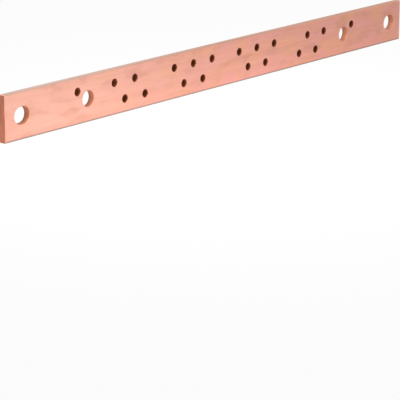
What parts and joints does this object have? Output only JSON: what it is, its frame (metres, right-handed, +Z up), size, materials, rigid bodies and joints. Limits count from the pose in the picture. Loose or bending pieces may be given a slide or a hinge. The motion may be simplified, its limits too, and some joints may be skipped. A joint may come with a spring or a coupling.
{
  "type": "rack grounding busbar",
  "caption": "Flat copper earth bar for an equipment rack, with fixing slots near its ends, round terminal holes and staggered rows of tapped holes for earth lugs.",
  "frame": {"origin": "middle of the bar: halfway along its length, width and thickness", "axes": "+X along the bar, +Z up across its width, -Y out of the front face"},
  "size_m": [0.43, 0.005, 0.03],
  "materials": {
    "copper": "satin bare drawn copper"
  },
  "bodies": {
    "root": {"busbar": "copper"}
  },
  "joints": []
}
